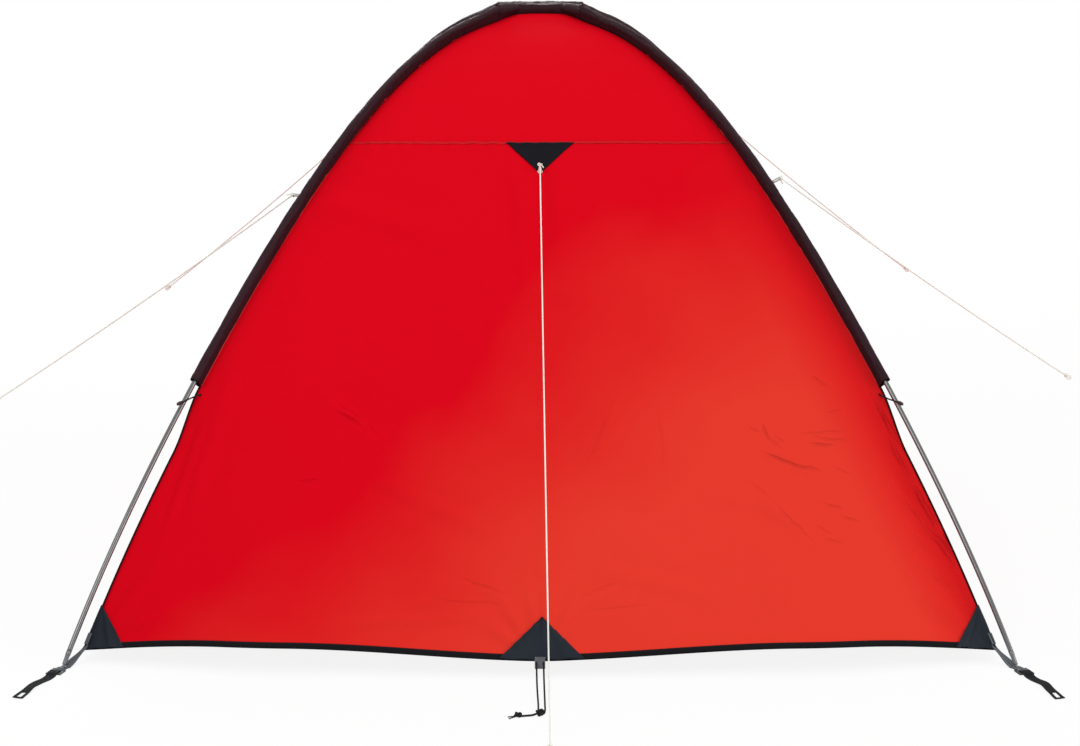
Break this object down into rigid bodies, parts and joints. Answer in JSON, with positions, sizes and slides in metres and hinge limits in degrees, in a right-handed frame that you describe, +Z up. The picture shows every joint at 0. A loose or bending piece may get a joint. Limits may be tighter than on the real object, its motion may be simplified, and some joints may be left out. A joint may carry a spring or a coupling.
{
  "type": "lightweight tent",
  "caption": "Low two-pole double-skin tent with crossing poles in sleeves, coloured outer tent, inner tent, corner straps and guy lines.",
  "frame": {"origin": "on the ground under the crossing of the poles", "axes": "+Z up, -Y towards the blank end shown in the picture, +Y towards the door end, +X to the right of a viewer in front of the blank end"},
  "size_m": [2.0902, 3.0934, 1.117],
  "materials": {
    "red_fabric": "coated ripstop, slight sheen",
    "black_fabric": "dense dark weave, matt",
    "slate_fabric": "dark blue-grey reinforcement, matt",
    "inner_fabric": "thin breathable cloth, matt",
    "floor_fabric": "coated groundsheet, satin",
    "fibreglass": "smooth dark pole",
    "metal": "satin",
    "black_plastic": "moulded, satin",
    "grey_webbing": "woven tape, matt",
    "cream_cord": "braided, matt",
    "dark_cord": "braided elastic, matt"
  },
  "bodies": {
    "tent": {"corner_patch_front_left": "slate_fabric", "corner_patch_front_right": "slate_fabric", "corner_patch_rear_left": "slate_fabric", "corner_patch_rear_right": "slate_fabric", "corner_strap_front_left": "grey_webbing", "corner_strap_front_right": "grey_webbing", "corner_strap_rear_left": "grey_webbing", "corner_strap_rear_right": "grey_webbing", "crown_sleeve": "black_fabric", "fly_front_lower": "red_fabric", "fly_front_upper": "red_fabric", "fly_left": "red_fabric", "fly_rear_lower": "red_fabric", "fly_rear_upper": "red_fabric", "fly_right": "red_fabric", "guy_front_centre": "cream_cord", "guy_front_left": "cream_cord", "guy_front_right": "cream_cord", "guy_patch_front": "slate_fabric", "guy_rear_left": "cream_cord", "guy_rear_right": "cream_cord", "inner_canopy": "inner_fabric", "inner_floor": "floor_fabric", "peg_cord_front": "dark_cord", "pole_a_section_1": "fibreglass", "pole_a_section_2": "fibreglass", "pole_a_section_3": "fibreglass", "pole_a_section_4": "fibreglass", "pole_a_section_5": "fibreglass", "pole_b_section_1": "fibreglass", "pole_b_section_2": "fibreglass", "pole_b_section_3": "fibreglass", "pole_b_section_4": "fibreglass", "pole_b_section_5": "fibreglass", "pole_tip_front_left": "metal", "pole_tip_front_right": "metal", "pole_tip_rear_left": "metal", "pole_tip_rear_right": "metal", "shock_cord_a": "dark_cord", "shock_cord_b": "dark_cord", "sleeve_front_left": "black_fabric", "sleeve_front_right": "black_fabric", "sleeve_rear_left": "black_fabric", "sleeve_rear_right": "black_fabric"},
    "door": {"fly_door": "red_fabric"},
    "slider": {"zip_slider": "metal"},
    "pull": {"zip_pull": "metal"},
    "inner_door": {"inner_door": "inner_fabric"},
    "peg_buckle_front_left": {"buckle_front_left": "black_plastic", "peg_strap_front_left": "grey_webbing"},
    "toggle_front_left": {"leg_toggle_front_left": "black_plastic"},
    "peg_buckle_front_right": {"buckle_front_right": "black_plastic", "peg_strap_front_right": "grey_webbing"},
    "toggle_front_right": {"leg_toggle_front_right": "black_plastic"},
    "peg_buckle_rear_left": {"buckle_rear_left": "black_plastic", "peg_strap_rear_left": "grey_webbing"},
    "toggle_rear_left": {"leg_toggle_rear_left": "black_plastic"},
    "peg_buckle_rear_right": {"buckle_rear_right": "black_plastic", "peg_strap_rear_right": "grey_webbing"},
    "toggle_rear_right": {"leg_toggle_rear_right": "black_plastic"}
  },
  "joints": [
    {"name": "fly_door_hinge", "type": "hinge", "parent": "tent", "child": "door", "pos_m": [0.4, 1.25, 0.028], "axis": [0.3642, 0.6085, -0.705], "range_deg": [0, 120]},
    {"name": "fly_zip_slide", "type": "slide", "parent": "tent", "child": "slider", "axis": [0.3642, -0.6085, 0.705], "range_m": [0, 0.96]},
    {"name": "zip_pull_hinge", "type": "hinge", "parent": "slider", "child": "pull", "pos_m": [-0.39199, 1.22456, 0.06574], "axis": [0.9313, 0.238, -0.2757], "range_deg": [0, 165]},
    {"name": "inner_door_hinge", "type": "hinge", "parent": "tent", "child": "inner_door", "pos_m": [0, 0.92766, 0.1309], "axis": [1, 0, 0], "range_deg": [0, 50]},
    {"name": "peg_strap_hinge_front_left", "type": "hinge", "parent": "tent", "child": "peg_buckle_front_left", "pos_m": [-0.82925, -1.22, 0.0023], "axis": [-0.9781, 0.2079, 0], "range_deg": [0, 80]},
    {"name": "peg_strap_hinge_front_right", "type": "hinge", "parent": "tent", "child": "peg_buckle_front_right", "pos_m": [0.82925, -1.22, 0.0023], "axis": [-0.9781, -0.2079, 0], "range_deg": [0, 80]},
    {"name": "peg_strap_hinge_rear_left", "type": "hinge", "parent": "tent", "child": "peg_buckle_rear_left", "pos_m": [-0.82925, 1.22, 0.0023], "axis": [0.9781, 0.2079, 0], "range_deg": [0, 80]},
    {"name": "peg_strap_hinge_rear_right", "type": "hinge", "parent": "tent", "child": "peg_buckle_rear_right", "pos_m": [0.82925, 1.22, 0.0023], "axis": [0.9781, -0.2079, 0], "range_deg": [0, 80]},
    {"name": "leg_toggle_swivel_front_left", "type": "hinge", "parent": "tent", "child": "toggle_front_left", "pos_m": [-0.61461, -0.9081, 0.43052], "axis": [-0.5615, -0.8167, -0.1333], "range_deg": [-90, 90]},
    {"name": "leg_toggle_swivel_front_right", "type": "hinge", "parent": "tent", "child": "toggle_front_right", "pos_m": [0.61461, -0.9081, 0.43052], "axis": [0.5615, -0.8167, -0.1333], "range_deg": [-90, 90]},
    {"name": "leg_toggle_swivel_rear_left", "type": "hinge", "parent": "tent", "child": "toggle_rear_left", "pos_m": [-0.61461, 0.9081, 0.43052], "axis": [-0.5615, 0.8167, -0.1333], "range_deg": [-90, 90]},
    {"name": "leg_toggle_swivel_rear_right", "type": "hinge", "parent": "tent", "child": "toggle_rear_right", "pos_m": [0.61461, 0.9081, 0.43052], "axis": [0.5615, 0.8167, -0.1333], "range_deg": [-90, 90]}
  ]
}
